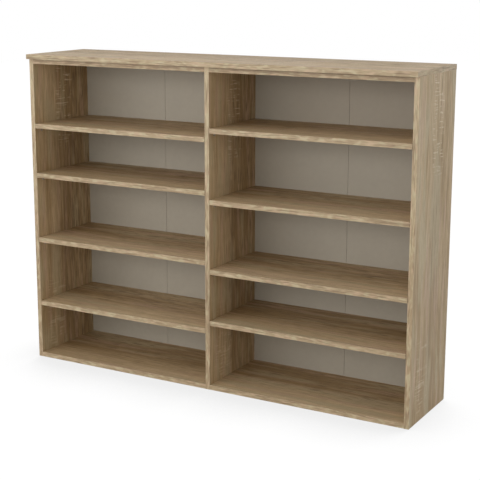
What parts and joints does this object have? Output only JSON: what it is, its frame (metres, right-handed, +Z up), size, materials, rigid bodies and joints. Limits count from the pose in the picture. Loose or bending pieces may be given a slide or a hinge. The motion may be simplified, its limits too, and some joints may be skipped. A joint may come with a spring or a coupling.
{
  "type": "library shelving",
  "caption": "Wide, low library shelving, open in front, with a middle partition, loose shelves at staggered heights, an overhanging top and a thin closed back.",
  "frame": {"origin": "on the floor, under the middle of the bounding box", "axes": "+X along the width, to the right as seen from the open front; +Y from the open front to the back; +Z up"},
  "size_m": [1.576, 0.3602, 1.2025],
  "materials": {
    "oak_board": "melamine-faced board in a greyish sawn oak decor, matt",
    "oak_edge_band": "edge band in the same oak decor, matt",
    "back_panel": "thin hardboard, plain greige lacquer, matt",
    "fold_tape": "thin adhesive tape, matt",
    "support_nickel": "nickel-plated, satin",
    "cam_zinc": "raw die-cast zinc",
    "fitting_steel": "zinc-plated steel",
    "beech_dowel": "raw beech",
    "glide_plastic": "moulded plastic, dark brown"
  },
  "bodies": {
    "carcass": {"back_fold_tape_left": "fold_tape", "back_fold_tape_right": "fold_tape", "back_leaf_1": "back_panel", "back_leaf_2": "back_panel", "back_leaf_3": "back_panel", "back_leaf_4": "back_panel", "bottom_board_left": "oak_board", "bottom_board_left_band": "oak_edge_band", "bottom_board_right": "oak_board", "bottom_board_right_band": "oak_edge_band", "cam_bolts": "fitting_steel", "cam_locks": "cam_zinc", "carcass_top_left": "oak_board", "carcass_top_left_band": "oak_edge_band", "carcass_top_right": "oak_board", "carcass_top_right_band": "oak_edge_band", "double_cam_bolts": "fitting_steel", "dowels": "beech_dowel", "floor_glides": "glide_plastic", "left_side": "oak_board", "left_side_band": "oak_edge_band", "middle_partition": "oak_board", "middle_partition_band": "oak_edge_band", "partition_dowels": "beech_dowel", "right_side": "oak_board", "right_side_band": "oak_edge_band", "supports_left_1": "support_nickel", "supports_left_2": "support_nickel", "supports_left_3": "support_nickel", "supports_left_4": "support_nickel", "supports_right_1": "support_nickel", "supports_right_2": "support_nickel", "supports_right_3": "support_nickel", "supports_right_4": "support_nickel", "top_band_back": "oak_edge_band", "top_band_front": "oak_edge_band", "top_band_left": "oak_edge_band", "top_band_right": "oak_edge_band", "top_board": "oak_board"},
    "left_shelf_1": {"shelf_left_1": "oak_board", "shelf_left_1_band": "oak_edge_band"},
    "left_shelf_2": {"shelf_left_2": "oak_board", "shelf_left_2_band": "oak_edge_band"},
    "left_shelf_3": {"shelf_left_3": "oak_board", "shelf_left_3_band": "oak_edge_band"},
    "left_shelf_4": {"shelf_left_4": "oak_board", "shelf_left_4_band": "oak_edge_band"},
    "right_shelf_1": {"shelf_right_1": "oak_board", "shelf_right_1_band": "oak_edge_band"},
    "right_shelf_2": {"shelf_right_2": "oak_board", "shelf_right_2_band": "oak_edge_band"},
    "right_shelf_3": {"shelf_right_3": "oak_board", "shelf_right_3_band": "oak_edge_band"},
    "right_shelf_4": {"shelf_right_4": "oak_board", "shelf_right_4_band": "oak_edge_band"}
  },
  "joints": [
    {"name": "left_shelf_1_pull", "type": "slide", "parent": "carcass", "child": "left_shelf_1", "axis": [0, -1, 0], "range_m": [0, 0.34]},
    {"name": "left_shelf_2_pull", "type": "slide", "parent": "carcass", "child": "left_shelf_2", "axis": [0, -1, 0], "range_m": [0, 0.34]},
    {"name": "left_shelf_3_pull", "type": "slide", "parent": "carcass", "child": "left_shelf_3", "axis": [0, -1, 0], "range_m": [0, 0.34]},
    {"name": "left_shelf_4_pull", "type": "slide", "parent": "carcass", "child": "left_shelf_4", "axis": [0, -1, 0], "range_m": [0, 0.34]},
    {"name": "right_shelf_1_pull", "type": "slide", "parent": "carcass", "child": "right_shelf_1", "axis": [0, -1, 0], "range_m": [0, 0.34]},
    {"name": "right_shelf_2_pull", "type": "slide", "parent": "carcass", "child": "right_shelf_2", "axis": [0, -1, 0], "range_m": [0, 0.34]},
    {"name": "right_shelf_3_pull", "type": "slide", "parent": "carcass", "child": "right_shelf_3", "axis": [0, -1, 0], "range_m": [0, 0.34]},
    {"name": "right_shelf_4_pull", "type": "slide", "parent": "carcass", "child": "right_shelf_4", "axis": [0, -1, 0], "range_m": [0, 0.34]}
  ]
}
